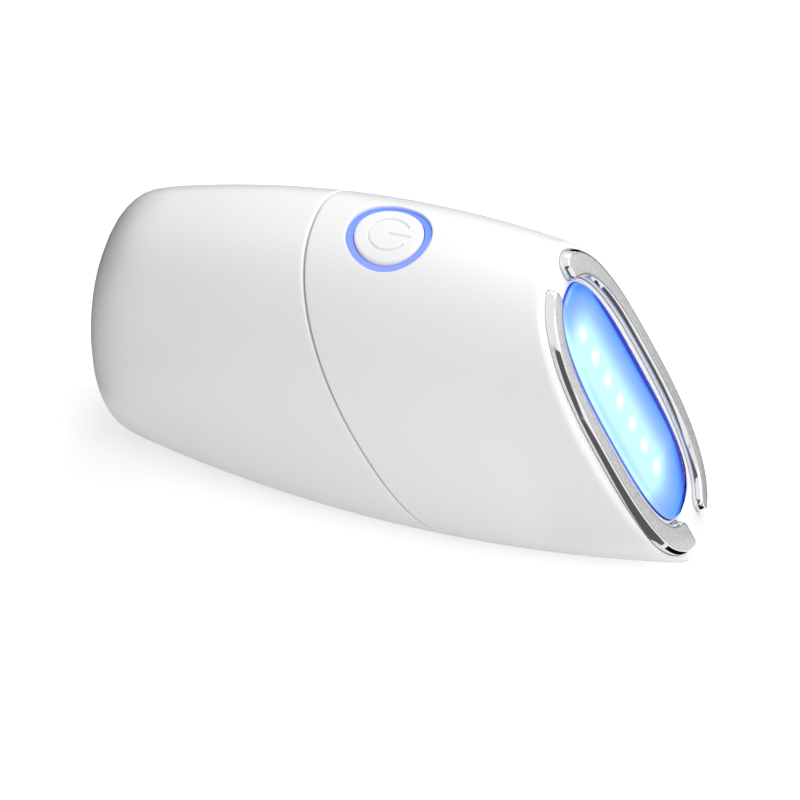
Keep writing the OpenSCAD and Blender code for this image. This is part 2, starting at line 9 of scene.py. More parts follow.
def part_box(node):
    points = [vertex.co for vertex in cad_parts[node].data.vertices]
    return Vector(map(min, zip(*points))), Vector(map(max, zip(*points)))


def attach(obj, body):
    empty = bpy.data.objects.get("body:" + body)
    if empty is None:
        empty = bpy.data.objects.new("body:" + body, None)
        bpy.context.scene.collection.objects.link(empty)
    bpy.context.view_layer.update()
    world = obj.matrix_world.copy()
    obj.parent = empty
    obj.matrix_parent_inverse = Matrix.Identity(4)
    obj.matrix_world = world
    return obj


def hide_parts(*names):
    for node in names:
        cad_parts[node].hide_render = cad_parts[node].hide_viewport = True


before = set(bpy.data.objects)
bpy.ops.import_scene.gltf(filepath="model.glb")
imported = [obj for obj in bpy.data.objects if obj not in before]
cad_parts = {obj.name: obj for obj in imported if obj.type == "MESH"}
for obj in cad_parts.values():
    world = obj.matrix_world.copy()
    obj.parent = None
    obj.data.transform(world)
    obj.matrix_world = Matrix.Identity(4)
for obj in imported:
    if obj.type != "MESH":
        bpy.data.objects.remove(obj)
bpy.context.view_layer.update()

# Camera: a long lens above the near side, looking down at the lit face and the button.
# Its place comes from matching the outline, the seam and the diodes of the real object.
view_azimuth, view_elevation, view_roll = math.radians(11.297), math.radians(51.904), math.radians(5.964)
view_aim = Vector((-0.00253, 0, 0.01819))
view_distance = 1.16


def direction(azimuth, elevation):
    """The way from the object to a place round it, with azimuth 0 at the near side."""
    level = math.cos(elevation)
    return Vector((math.sin(azimuth) * level, -math.cos(azimuth) * level, math.sin(elevation)))


level_right = Vector((math.cos(view_azimuth), math.sin(view_azimuth), 0))
view_back = direction(view_azimuth, view_elevation)
level_up = view_back.cross(level_right)
view_right = level_right * math.cos(view_roll) + level_up * math.sin(view_roll)
view_up = level_up * math.cos(view_roll) - level_right * math.sin(view_roll)

camera = bpy.data.objects.new("camera", bpy.data.cameras.new("camera"))
bpy.context.scene.collection.objects.link(camera)
camera.data.lens = 358.58
camera.data.sensor_width = 36
camera.data.clip_start, camera.data.clip_end = 0.05, 20
turned = Matrix((view_right, view_up, view_back)).transposed().to_4x4()
camera.matrix_world = Matrix.Translation(view_aim + view_back * view_distance) @ turned
bpy.context.scene.camera = camera
bpy.context.scene.view_settings.view_transform = "Standard"


# Studio: a white room light from all sides, a broad soft lamp behind and above, and a weaker one in front.
# The floor is a plain matt white sheet that keeps the soft shadow of the object.
room_light = 0.595
lamp_distance, lamp_aim = 0.6, Vector((0, 0, 0.028))
sheet_lift = 0.42


def srgb(code):
    """Linear colour of an sRGB hex code."""
    parts = [int(code[i:i + 2], 16) / 255 for i in (1, 3, 5)]
    return [c / 12.92 if c <= 0.04045 else ((c + 0.055) / 1.055) ** 2.4 for c in parts] + [1]


def add(tree, kind, values=None, links=None, **settings):
    """Adds one node with its settings, its input values and its links; a node stands for its first output."""
    made = tree.nodes.new(kind)
    for name, value in settings.items():
        setattr(made, name, value)
    for name, value in (values or {}).items():
        made.inputs[name].default_value = value
    for name, source in (links or {}).items():
        if isinstance(source, bpy.types.Node):
            source = next(output for output in source.outputs if output.enabled)
        tree.links.new(source, made.inputs[name])
    return made


def seen_directly(tree, also_in_gloss=True):
    """1 for rays that come straight from the camera, through glass and, where asked for, off gloss."""
    path = add(tree, "ShaderNodeLightPath")
    seen = add(tree, "ShaderNodeMath", operation="MAXIMUM",
               links={0: path.outputs["Is Camera Ray"], 1: path.outputs["Is Transmission Ray"]})
    if also_in_gloss:
        seen = add(tree, "ShaderNodeMath", operation="MAXIMUM",
                   links={0: seen, 1: path.outputs["Is Glossy Ray"]})
    return seen


def new_material(name, values):
    """A material with its tree and its shader, on whose sockets the even values are set."""
    made = bpy.data.materials.new(name)
    made.use_nodes = True
    shader = made.node_tree.nodes["Principled BSDF"]
    for socket, value in values.items():
        shader.inputs[socket].default_value = value
    return made, made.node_tree, shader


def soft_lamp(name, azimuth, elevation, size, watts):
    """A square area lamp that looks at the middle of the object."""
    lamp = bpy.data.objects.new(name, bpy.data.lights.new(name, "AREA"))
    bpy.context.scene.collection.objects.link(lamp)
    away = direction(math.radians(azimuth), math.radians(elevation))
    lamp.location = away * lamp_distance + lamp_aim
    lamp.rotation_mode = "QUATERNION"
    lamp.rotation_quaternion = away.to_track_quat("Z", "Y")
    lamp.data.size = size
    lamp.data.energy = watts


room = bpy.data.worlds.new("white_room")
room.use_nodes = True
bpy.context.scene.world = room
strength = add(room.node_tree, "ShaderNodeMapRange", {"To Min": room_light, "To Max": 1},
               {"Value": seen_directly(room.node_tree)})
background = room.node_tree.nodes["Background"]
background.inputs["Color"].default_value = srgb("#FFFFFF")
room.node_tree.links.new(strength.outputs[0], background.inputs["Strength"])

soft_lamp("lamp_behind", 150, 50, 0.5, 2.3)
soft_lamp("lamp_front", 60, 35, 0.4, 1.0)

bpy.ops.object.select_all(action="DESELECT")
bpy.ops.mesh.primitive_plane_add(size=6)
floor = bpy.context.object
floor.name = floor.data.name = "floor"

# Matt white sheet: even and without shine. Where the camera sees it, a little glow lifts it to plain white.
paper, tree, shader = new_material("matt_white_sheet", {
    "Base Color": srgb("#F4F4F4"), "Roughness": 0.9, "Specular IOR Level": 0.1, "Emission Color": srgb("#FFFFFF")})
glow = add(tree, "ShaderNodeMapRange", {"To Min": 0, "To Max": sheet_lift}, {"Value": seen_directly(tree, False)})
tree.links.new(glow.outputs[0], shader.inputs["Emission Strength"])
floor.data.materials.append(paper)


# Flags: cards of black and grey velvet that only gloss sees. Those in front give the chrome its dark bands, and those
# behind its dark far edges, as in a studio. The one at the tail also keeps light off, and draws its dark edge.
mm = 0.001


def flag(name, corners, code, keeps_light_off=False):
    """A card between four corners, as even in tone as black or grey velvet."""
    bpy.ops.object.select_all(action="DESELECT")
    bpy.ops.mesh.primitive_plane_add(size=1)
    card = bpy.context.object
    card.name = card.data.name = name
    for v, corner in zip(card.data.vertices, corners):
        v.co = Vector(corner) * mm
    card.visible_camera = card.visible_transmission = False
    card.visible_diffuse = card.visible_shadow = keeps_light_off
    cloth = new_material(name + "_cloth", {"Base Color": srgb("#000000"), "Specular IOR Level": 0,
                                           "Emission Color": srgb(code), "Emission Strength": 1})[0]
    card.data.materials.append(cloth)


flag("flag_in_front", [(25, -100, 1), (90, -100, 1), (25, -14, 1), (65, -14, 1)], "#606060")
flag("flag_upright", [(20, -101, 1), (90, -101, 1), (20, -101, 75), (90, -101, 75)], "#606060")
flag("flag_at_nose", [(44, -12, 2), (52, -12, 2), (44, -3, 2), (52, -3, 2)], "#080808")
flag("flag_behind", [(-60, 6, 1), (56, 6, 1), (-60, 320, 1), (125, 320, 1)], "#101010")
flag("flag_at_right", [(57, 3, 1), (160, 3, 1), (126, 320, 1), (300, 320, 1)], "#B4B4B4")
flag("flag_at_left", [(-170, -80, 0.8), (-52, -80, 0.8), (-170, 160, 0.8), (-52, 160, 0.8)], "#000000")
flag("flag_at_tail", [(-70, -14, 14), (-64, 40, 14), (-70, -14, 50), (-64, 40, 50)], "#000000", True)


# Rear cover: the back half of the shell, one deep cup injection moulded in white ABS with a polished tool.
# It slides over the spigot of the front housing, and two posts inside hold the bridge contact.
tilt, stand_back, stand_up = math.radians(5), 48, 22.6
waist, nose = 58, 91
skin_power, tail_power, tail_length = 2.23, 2.96, 8.9
seam_lean, seam_middle, seam_gap = 0.425, 44.4, 0.3
cover_end = seam_middle - seam_gap / 2
wall = floor_wall = 2.2
mouth_inset, mouth_floor, mouth_depth = 2.0, 1.6, 5.7
lip = 0.32
tail_turns = (0, 0.3, 2, 6, 12, 18, 25, 32, 40, 48, 56, 64, 72, 81)
around = 128
weld = 0.002 * mm
ahead = Vector((1, 0, 0))


def through(x, tail, middle, head):
    """A value that runs through three given values at the tail, the waist and the nose of the body."""
    return (tail * (x - waist) * (x - nose) / (waist * nose) + middle * x * (nose - x) / (waist * (nose - waist))
            + head * x * (x - waist) / (nose * (nose - waist)))


def half_height(x):
    return through(x, 19.1, 29.0, 25.6)


def half_width(x):
    return through(x, 12.9, 16.7, 10.85)


def middle_line(x):
    return through(x, -0.2, 0, -2.0)


def bend(value, power):
    return math.copysign(abs(value) ** (2 / power), value)


def tail_share(x, depth):
    k = max(0, tail_length - x) / (tail_length - depth)
    return max(0, 1 - k ** tail_power) ** (1 / tail_power)


def to_stand(x, y, z):
    """From the body's own axis to the object as it stands on its flat, in mm."""
    return Vector((x * math.cos(tilt) - z * math.sin(tilt) - stand_back, y,
                   x * math.sin(tilt) + z * math.cos(tilt) + stand_up))


def to_body(p):
    """The way back from to_stand."""
    x, z = p.x + stand_back, p.z - stand_up
    return Vector((x * math.cos(tilt) + z * math.sin(tilt), p.y, z * math.cos(tilt) - x * math.sin(tilt)))


def skin_point(x0, lean, depth, angle):
    """The point of the skin, inset by depth, where the plane that leans back from x0 meets it."""
    x = x0
    for step in range(7):
        z = middle_line(x) + (half_height(x) - depth) * tail_share(x, depth) * bend(math.sin(angle), skin_power)
        if step < 6:
            x = x0 - lean * z
    return to_stand(x, (half_width(x) - depth) * tail_share(x, depth) * bend(math.cos(angle), skin_power), z)


def skin_ring(x0, lean, depth=0.0, low=-10.0):
    """A ring of the skin, inset by depth, that goes no lower than low."""
    ring = [skin_point(x0, lean, depth, 2 * math.pi * i / around) for i in range(around)]
    return [Vector((p.x, p.y, max(p.z, low))) for p in ring]


def pushed(ring, dx):
    return [p + Vector((dx, 0, 0)) for p in ring]


def draw_tube(rings):
    """Adds a circle of points, lays it on the first ring and extrudes it through the others."""
    if bpy.context.mode == "OBJECT":
        bpy.ops.object.select_all(action="DESELECT")
    bpy.ops.mesh.primitive_circle_add(vertices=len(rings[0]), radius=mm)
    bpy.ops.object.mode_set(mode="EDIT")
    bpy.ops.mesh.select_mode(type="VERT")
    drawn = bpy.context.object.data
    for number, ring in enumerate(rings):
        if number:
            bpy.ops.mesh.extrude_region_move()
        mesh = bmesh.from_edit_mesh(drawn)
        for name in ("side", "row"):
            if mesh.verts.layers.int.get(name) is None:
                mesh.verts.layers.int.new(name)
        side, row = mesh.verts.layers.int["side"], mesh.verts.layers.int["row"]
        for place, v in enumerate([v for v in mesh.verts if v.select]):
            if not number:
                v[side] = place
            v[row] = number
            v.co = ring[v[side]] * mm
        bmesh.update_edit_mesh(drawn)


def lathe(rings, at, along, points=32):
    """Draws a turned solid: pairs of radius and place along an axis, both ends closed."""
    side_a = Vector((0, 1, 0))
    side_b = along.cross(side_a).normalized()
    side_a = side_b.cross(along).normalized()
    turns = [2 * math.pi * i / points for i in range(points)]
    draw_tube([[at + along * h + (side_a * math.cos(t) + side_b * math.sin(t)) * r for t in turns] for r, h in rings])


def close_mesh(name, angle=30):
    """Welds what meets, turns the faces outwards and smooths all but the sharp edges."""
    bpy.ops.mesh.select_all(action="SELECT")
    bpy.ops.mesh.remove_doubles(threshold=weld)
    bpy.ops.mesh.normals_make_consistent(inside=False)
    bpy.ops.object.mode_set(mode="OBJECT")
    piece = bpy.context.object
    piece.name = piece.data.name = name
    for layer in ("side", "row"):
        if layer in piece.data.attributes:
            piece.data.attributes.remove(piece.data.attributes[layer])
    bpy.ops.object.shade_smooth_by_angle(angle=math.radians(angle))
    return piece


def stand_flat():
    """Cuts the flat that the object stands on, straight through the skin."""
    bpy.ops.mesh.select_all(action="SELECT")
    bpy.ops.mesh.bisect(plane_co=(0, 0, 0), plane_no=(0, 0, 1), use_fill=True, clear_inner=True, threshold=1e-7)


def tail_ring(f, depth, low=-10.0):
    f = math.radians(f)
    return skin_ring(tail_length - (tail_length - depth) * math.cos(f) ** (2 / tail_power), 0, depth, low)


def cover_lean(x):
    return seam_lean * max(0, x - tail_length) / (seam_middle - tail_length)


def round_lip(end, way, radius):
    """Rings round an outer edge at end; way is the side of the edge that the skin lies on."""
    turns = [math.radians(t) for t in (0, 22, 45, 67, 90)]
    return [skin_ring(end + way * radius * (1 - math.sin(t)), seam_lean, radius * (1 - math.cos(t))) for t in turns]


def spread(start, stop, count):
    return [start + (stop - start) * i / (count - 1) for i in range(count)]


mouth = skin_ring(cover_end, seam_lean, mouth_inset, mouth_floor)
draw_tube(
    [tail_ring(f, 0) for f in tail_turns]
    + [skin_ring(x, cover_lean(x)) for x in spread(tail_length, cover_end - 1.2, 22)]
    + round_lip(cover_end, -1, lip)
    + [mouth, pushed(mouth, -mouth_depth)]
    + [skin_ring(x, cover_lean(x), wall, floor_wall) for x in spread(34, tail_length, 10)]
    + [tail_ring(f, wall, floor_wall) for f in reversed(tail_turns)]
)
stand_flat()
for z in (15, 31):
    lathe([(0, -46.2), (0.3, -46.2), (2.4, -46.2), (2.4, -43.0), (2.2, -42.8), (0.3, -42.8), (0, -42.8)],
          Vector((0, 0, z)), ahead)
rear_cover = close_mesh("cover_shell")

# White ABS from a polished tool: a clean, faintly warm white under a soft gloss, with the slight
# unevenness that moulding leaves; the grain is drawn at 0.3 mm so that it shows at all.
white_abs, tree, shader = new_material("moulded_white_abs", {"IOR": 1.53})
place = add(tree, "ShaderNodeTexCoord")
cloud = add(tree, "ShaderNodeTexNoise", {"Scale": 1 / 0.02, "Detail": 2}, {"Vector": place.outputs["Object"]})
tone = add(tree, "ShaderNodeMix", {"A": srgb("#F1F1F2"), "B": srgb("#EEEEF0")}, {"Factor": cloud}, data_type="RGBA")
grain = add(tree, "ShaderNodeTexNoise", {"Scale": 1 / 0.0003, "Detail": 3}, {"Vector": place.outputs["Object"]})
gloss = add(tree, "ShaderNodeMapRange", {"To Min": 0.27, "To Max": 0.35}, {"Value": grain})
relief = add(tree, "ShaderNodeBump", {"Strength": 0.03, "Distance": 0.00005}, {"Height": grain})
tree.links.new(tone.outputs["Result"], shader.inputs["Base Color"])
tree.links.new(gloss.outputs[0], shader.inputs["Roughness"])
tree.links.new(relief.outputs[0], shader.inputs["Normal"])
rear_cover.data.materials.append(white_abs)
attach(rear_cover, "cover")
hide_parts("rear_cover")

# Front housing: the front half of the shell, moulded in the same white ABS, with the slanted face,
# the bore for the button and, at its rear, the spigot that the cover slides over.
housing_end = seam_middle + seam_gap / 2
face_at, face_turn, face_slope = 79.2, math.radians(62.5), math.radians(67.5)
face_lean = 1 / math.tan(face_slope)
face_origin = to_stand(face_at, 0, 0)
face_down = Vector((math.cos(face_turn), 0, -math.sin(face_turn)))
face_out = Vector((math.sin(face_turn), 0, math.cos(face_turn)))
face_edge_back, face_edge_in, face_wall = 0.95, 0.8, 2.4
window_middle, window_length, window_width = -1.9, 22.6, 7.3
spigot_inset, spigot_floor, spigot_wall, spigot_length = 2.15, 1.75, 1.25, 5.2
seal_depth, seal_length = 0.6, 1.6


def face_point(u, v, h):
    """u runs down the face, v across it and h out of it, in mm."""
    return face_origin + face_down * u + Vector((0, v, 0)) + face_out * h


def window_oval(length, width, t):
    """The oval of the window is a little narrower at the corner next to the lower strip's tip."""
    power = 2.55 if math.cos(t) < 0 and math.sin(t) < 0 else 2.95
    return length * bend(math.cos(t), power), width * bend(math.sin(t), power)


def window_ring(grow_u, grow_v, h, share=1):
    """The window's oval at a share of its size, grown each way."""
    turns = [math.pi / 2 + 2 * math.pi * i / around for i in range(around)]
    ovals = [window_oval(window_length * share + grow_u, window_width * share + grow_v, t) for t in turns]
    return [face_point(window_middle + u, v, h) for u, v in ovals]


def between(a, b, share):
    return [p.lerp(q, share) for p, q in zip(a, b)]


def spigot_ring(depth, dx):
    ring = skin_ring(cover_end, seam_lean, spigot_inset + depth, spigot_floor + depth)
    return pushed(ring, dx - spigot_length + seam_gap)


def lean_at(x):
    return seam_lean + (face_lean - seam_lean) * (x - housing_end) / (face_at - housing_end)


outer_rows = [skin_ring(x, lean_at(x)) for x in spread(housing_end + 0.7, face_at - 1.5, 25)]
edge_turns = [math.radians(t) for t in (0, 15, 30, 45, 60, 75, 90)]
face_edge = [skin_ring(face_at - face_edge_back * (1 - math.sin(t)), face_lean, face_edge_in * (1 - math.cos(t)))
             for t in edge_turns]
window_edge = window_ring(0.22, 0.22, 0)
inner_rows = [skin_ring(x, seam_lean, wall, floor_wall) for x in spread(74.5, housing_end + 4.0, 20)]
shoulder = skin_ring(housing_end + 4, seam_lean, spigot_inset + spigot_wall, spigot_floor + spigot_wall)
lead_rings = [
    spigot_ring(spigot_wall, 0), spigot_ring(seal_depth, 0), spigot_ring(seal_depth, seal_length),
    spigot_ring(0, seal_length), spigot_ring(0, spigot_length),
] + round_lip(housing_end, 1, lip)[::-1]
face_rings = face_edge + [
    between(face_edge[-1], window_edge, 0.02), between(face_edge[-1], window_edge, 0.97), window_edge,
    window_ring(0.12, 0.12, -0.04), window_ring(0.1, 0.1, -0.12), window_ring(0.1, 0.1, -0.9),
    window_ring(0.5, 1.7, -0.9), window_ring(0.5, 1.7, -face_wall),
    skin_ring(face_at - face_wall / math.sin(face_slope), face_lean, wall, floor_wall),
]
draw_tube(lead_rings + outer_rows + face_rings + inner_rows + [shoulder, lead_rings[0]])

# The grooves that the two strips sit in are cut 0.5 mm into the face. Each strip's foot is drawn here: along the
# outer oval from the narrow end to the hook, back along the inner oval, and with all four corners rounded.
strip_width, strip_inner_width, strip_power = 12.0, 9.1, 2.65
strip_high, strip_low = 1.4, -0.5
arm_points, bend_points, bend_pull, shortest, most_cut = 90, 13, 0.55, 0.05, 0.48
strip_ends = {
    "upper": dict(outer=(28.5, 27.8), inner=(25.8, 23.1), stop=(2.9, 2.5), corners=(2.6, 1.0, 1.2, 1.2)),
    "lower": dict(outer=(27.4, 28.6), inner=(24.2, 23.0), stop=(2.1, 2.3), corners=(1.2, 1.2, 1.2, 1.7)),
}


def arm(lengths, width, stop):
    """Half an oval from the narrow end, on the u > 0 side, to the hook, each cut off at its stop."""
    first = math.asin((stop[0] / width) ** (strip_power / 2))
    last = math.pi - math.asin((stop[1] / width) ** (strip_power / 2))
    turns = [first + (last - first) * i / (arm_points - 1) for i in range(arm_points)]
    return [Vector((lengths[t > math.pi / 2] * bend(math.cos(t), strip_power), width * bend(math.sin(t), strip_power)))
            for t in turns]


def walked(path, distance):
    """The point at a distance along a path, and the number of the first path point after it."""
    for number in range(1, len(path)):
        step = (path[number] - path[number - 1]).length
        if distance <= step:
            return path[number - 1].lerp(path[number], distance / step), number
        distance -= step
    return path[-1], len(path)


def strip_outline(name):
    """The foot of a strip as one closed path, in mm from the middle of the window."""
    ends = strip_ends[name]
    outer, inner = arm(ends["outer"], strip_width, ends["stop"]), arm(ends["inner"], strip_inner_width, ends["stop"])
    legs = [outer, [outer[-1], inner[-1]], inner[::-1], [inner[0], outer[0]]]
    outline = []
    for number, leg in enumerate(legs):
        following = legs[(number + 1) % 4]
        cut_in, cut_out = ends["corners"][number - 1], ends["corners"][number]
        if len(leg) == 2:
            reach = (leg[1] - leg[0]).length
            cut_in, cut_out = min(cut_in, reach * most_cut), min(cut_out, reach * most_cut)
        start, after = walked(leg, cut_in)
        stop, before = walked(leg[::-1], cut_out)
        inside = leg[after:len(leg) - before]
        outline += [start] + (inside if inside else [start.lerp(stop, i / 8) for i in range(1, 8)]) + [stop]
        if len(following) == 2:
            cut_out = min(ends["corners"][number], (following[1] - following[0]).length * most_cut)
        corner = leg[-1]
        way_in = (stop - (inside[-1] if inside else start)).normalized() * (corner - stop).length
        bend_end, ahead = walked(following, cut_out)
        way_out = (following[min(ahead + 1, len(following) - 1)] - bend_end).normalized() * (bend_end - corner).length
        way_in, way_out = stop + way_in * bend_pull, bend_end - way_out * bend_pull
        outline += interpolate_bezier(stop, way_in, way_out, bend_end, bend_points)[1:-1]
    return [p for number, p in enumerate(outline) if (p - outline[number - 1]).length > shortest]


def drawn_in(outline, inset):
    """The path moved sideways, inwards for an inset above 0."""
    count = len(outline)
    moved = []
    for number, p in enumerate(outline):
        way = (outline[(number + 1) % count] - outline[number - 1]).normalized()
        moved.append(p + Vector((-way.y, way.x)) * inset)
    return moved


def turned_on_face(p, h, half_turn):
    """A point of a strip's path on the face, or half a turn further for the lower strip."""
    sign = -1 if half_turn else 1
    return face_point(window_middle + sign * p.x, sign * p.y, h)


groove_gap, groove_reach = 0.1, 2
shell = bpy.context.object
bpy.ops.object.mode_set(mode="OBJECT")
cutters = []
for name, half_turn in (("upper", False), ("lower", True)):
    bpy.ops.object.select_all(action="DESELECT")
    outline = drawn_in(strip_outline(name), -groove_gap)
    bpy.ops.mesh.primitive_circle_add(vertices=len(outline), radius=mm, fill_type="NGON")
    cutter = bpy.context.object
    for v, p in zip(cutter.data.vertices, outline):
        v.co = turned_on_face(p, groove_reach, half_turn) * mm
    bpy.ops.object.mode_set(mode="EDIT")
    bpy.ops.mesh.select_all(action="SELECT")
    bpy.ops.mesh.extrude_region_move(TRANSFORM_OT_translate={"value": face_out * (strip_low - groove_reach) * mm})
    bpy.ops.mesh.select_all(action="SELECT")
    bpy.ops.mesh.normals_make_consistent(inside=False)
    bpy.ops.object.mode_set(mode="OBJECT")
    cutters.append(cutter)
bpy.ops.object.select_all(action="DESELECT")
shell.select_set(True)
bpy.context.view_layer.objects.active = shell
bpy.ops.object.mode_set(mode="EDIT")
bpy.ops.mesh.select_all(action="SELECT")
bpy.ops.mesh.remove_doubles(threshold=weld)
bpy.ops.mesh.normals_make_consistent(inside=False)
bpy.ops.object.mode_set(mode="OBJECT")
for cutter in cutters:
    groove = shell.modifiers.new("groove", "BOOLEAN")
    groove.operation, groove.solver, groove.object = "DIFFERENCE", "EXACT", cutter
    bpy.ops.object.modifier_apply(modifier="groove")
for cutter in cutters:
    bpy.data.objects.remove(cutter)

# The bore for the button is let into the skin: a patch is taken out, and its rim is extruded to the bore's mouth,
# down the bore and out again to the rim of the patch inside.
button_at, button_lean, bore, bore_flare = 44, math.radians(9), 6.2, 0.22
button_top = skin_point(button_at, 0, 0, math.pi / 2)
button_axis = Vector((-math.sin(button_lean), 0, math.cos(button_lean)))
button_ahead = Vector((math.cos(button_lean), 0, math.sin(button_lean)))
bore_rows = 1000  # the rows of the bore count from here, past all those of the skin


def skin_above(x, y, depth):
    """Height of the inset skin over a point of the body's own plane."""
    return middle_line(x) + (half_height(x) - depth) * (
        1 - abs(y / (half_width(x) - depth)) ** skin_power) ** (1 / skin_power)


def button_point(radius, turn, height=None, depth=0.0, drop=0.0):
    """A point round the button's axis, at a fixed height or at a drop below the inset skin."""
    foot = button_top + button_ahead * (radius * math.cos(turn)) + Vector((0, radius * math.sin(turn), 0))
    if height is not None:
        return foot + button_axis * height
    for step in range(6):
        at = to_body(foot)
        foot -= button_axis * (at.z - skin_above(at.x, at.y, depth))
    return foot - button_axis * drop


def take_out_patch(rows, sides):
    """Deletes the faces of the skin between two rows and two sides."""
    bpy.ops.mesh.select_mode(type="FACE")
    bpy.ops.mesh.select_all(action="DESELECT")
    drawn = bmesh.from_edit_mesh(bpy.context.object.data)
    side, row = drawn.verts.layers.int["side"], drawn.verts.layers.int["row"]
    for face in drawn.faces:
        if all(rows[0] <= v[row] <= rows[1] and sides[0] <= v[side] <= sides[1] for v in face.verts):
            face.select_set(True)
    drawn.select_flush_mode()
    bmesh.update_edit_mesh(bpy.context.object.data)
    bpy.ops.mesh.delete(type="FACE")


def turn_round_button(p):
    """The turn of a mesh point round the button's axis, from 0 to a full turn."""
    p = p / mm - button_top
    return math.atan2(p.y, p.dot(button_ahead)) % (2 * math.pi)


def choose_rim(rows):
    """Selects the open rim between two rows, numbers its points by their turn and returns them in order."""
    bpy.ops.mesh.select_mode(type="EDGE")
    bpy.ops.mesh.select_all(action="DESELECT")
    drawn = bmesh.from_edit_mesh(bpy.context.object.data)
    side, row = drawn.verts.layers.int["side"], drawn.verts.layers.int["row"]
    for edge in drawn.edges:
        if edge.is_boundary and all(rows[0] <= v[row] <= rows[1] for v in edge.verts):
            edge.select_set(True)
    drawn.select_flush_mode()
    rim = sorted((v for v in drawn.verts if v.select), key=lambda v: turn_round_button(v.co))
    for place, v in enumerate(rim):
        v[side] = place
    bmesh.update_edit_mesh(bpy.context.object.data)
    return [v.co / mm for v in rim]


def extrude_through(rings):
    """Extrudes the selected rim through rings of points that follow its numbers."""
    bpy.ops.mesh.select_mode(type="VERT")
    drawn = bpy.context.object.data
    for number, ring in enumerate(rings):
        bpy.ops.mesh.extrude_region_move()
        mesh = bmesh.from_edit_mesh(drawn)
        side, row = mesh.verts.layers.int["side"], mesh.verts.layers.int["row"]
        for v in (v for v in mesh.verts if v.select):
            v[row] = bore_rows + number
            v.co = ring[v[side]] * mm
        bmesh.update_edit_mesh(drawn)


def on_skin(points, depth):
    """Moves points up or down onto the inset skin."""
    laid = [to_body(p) for p in points]
    return [to_stand(p.x, p.y, skin_above(p.x, p.y, depth)) for p in laid]


bpy.ops.object.mode_set(mode="EDIT")
first_outer = len(lead_rings)
first_inner = len(lead_rings) + len(outer_rows) + len(face_rings)
outer_patch, inner_patch = (first_outer + 2, first_outer + 14), (first_inner + 9, first_inner + 19)
take_out_patch(outer_patch, (22, 42))
take_out_patch(inner_patch, (21, 43))
inner_rim = choose_rim(inner_patch)
outer_rim = choose_rim(outer_patch)
rim_turn = turn_round_button(outer_rim[0] * mm)


def bore_ring(radius, **place):
    count = len(outer_rim)
    return [button_point(radius, rim_turn + 2 * math.pi * i / count, **place) for i in range(count)]


mouth, foot = bore_ring(bore + bore_flare), bore_ring(bore, depth=wall)
extrude_through(
    [on_skin(between(outer_rim, mouth, share), 0) for share in (0.3, 0.6, 0.82, 0.95)]
    + [mouth, bore_ring(bore + 0.065, drop=0.05), bore_ring(bore, drop=bore_flare), bore_ring(bore, drop=1.2), foot]
    + [on_skin(between(foot, inner_rim, 0.5), wall), inner_rim]
)
bpy.ops.mesh.select_all(action="SELECT")
bpy.ops.mesh.remove_doubles(threshold=weld)
stand_flat()

# Inside are the bosses for the battery holder, the posts for the main board, the ring that keeps the light ring in
# its bore and the pads for the diode board.
for y in (-11.8, 11.8):
    lathe([(0.8, 5), (2.4, 5), (2.6, 5.2), (2.6, 17), (0, 17), (0, 10), (0.8, 10), (0.8, 5)],
          Vector((0, y, 23)), ahead)
post = 1.9
for x, y in ((-5.2, -7.7), (-5.2, 7.7), (14.4, -7.2), (14.4, 7.2)):
    lowest = [(x + post * math.cos(t), abs(y) + post * math.sin(t)) for t in (0, math.pi / 4, math.pi / 2, math.pi)]
    top = min((button_point(math.hypot(a, b), math.atan2(b, a), depth=0.9) - button_top).dot(button_axis)
              for a, b in lowest)
    lathe([(0.8, -9.2), (1.8, -9.2), (post, -9.1), (post, top), (0, top), (0, -5), (0.8, -5), (0.8, -9.2)],
          button_top + button_ahead * x + Vector((0, y, 0)), button_axis)
lathe([(7.7, -4.6), (8.2, -4.6), (8.3, -4.5), (8.3, -4), (6.2, -1.8), (6.2, -3.2), (7.7, -3.2), (7.7, -4.6)],
      button_top, button_axis, 64)
for u in (-26.5, 23.4):
    lathe([(0.8, -3.3), (1.4, -3.3), (1.5, -3.2), (1.5, -1.4), (0, -1.4), (0, -2), (0.8, -2), (0.8, -3.3)],
          face_point(u, 0, 0), face_out)
front_housing = close_mesh("housing_shell")
front_housing.data.materials.append(white_abs)
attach(front_housing, "front")
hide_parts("front_housing")

# Seam seal: a soft grey silicone ring that snaps into the seat of the spigot and closes the seam against dust
# and splashes. Between the two white halves it shows as a fine grey line.
seal_rings = [spigot_ring(-0.09, 0.25), spigot_ring(-0.09, seal_length - 0.25), spigot_ring(0.05, seal_length - 0.02),
              spigot_ring(0.58, seal_length - 0.02), spigot_ring(0.58, 0), spigot_ring(0.05, 0)]
draw_tube(seal_rings + seal_rings[:1])
seam_seal = close_mesh("seal_band")

# Grey silicone: matt, with the faint cloudy bloom that comes out of the rubber.
grey_silicone, tree, shader = new_material("moulded_grey_silicone", {"Roughness": 0.62})
place = add(tree, "ShaderNodeTexCoord")
bloom = add(tree, "ShaderNodeTexNoise", {"Scale": 1 / 0.003, "Detail": 4}, {"Vector": place.outputs["Object"]})
tone = add(tree, "ShaderNodeMix", {"A": srgb("#6C6C6F"), "B": srgb("#828285")}, {"Factor": bloom}, data_type="RGBA")
relief = add(tree, "ShaderNodeBump", {"Strength": 0.15, "Distance": 0.00005}, {"Height": bloom})
tree.links.new(tone.outputs["Result"], shader.inputs["Base Color"])
tree.links.new(relief.outputs[0], shader.inputs["Normal"])
seam_seal.data.materials.append(grey_silicone)
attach(seam_seal, "front")
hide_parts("seam_seal")

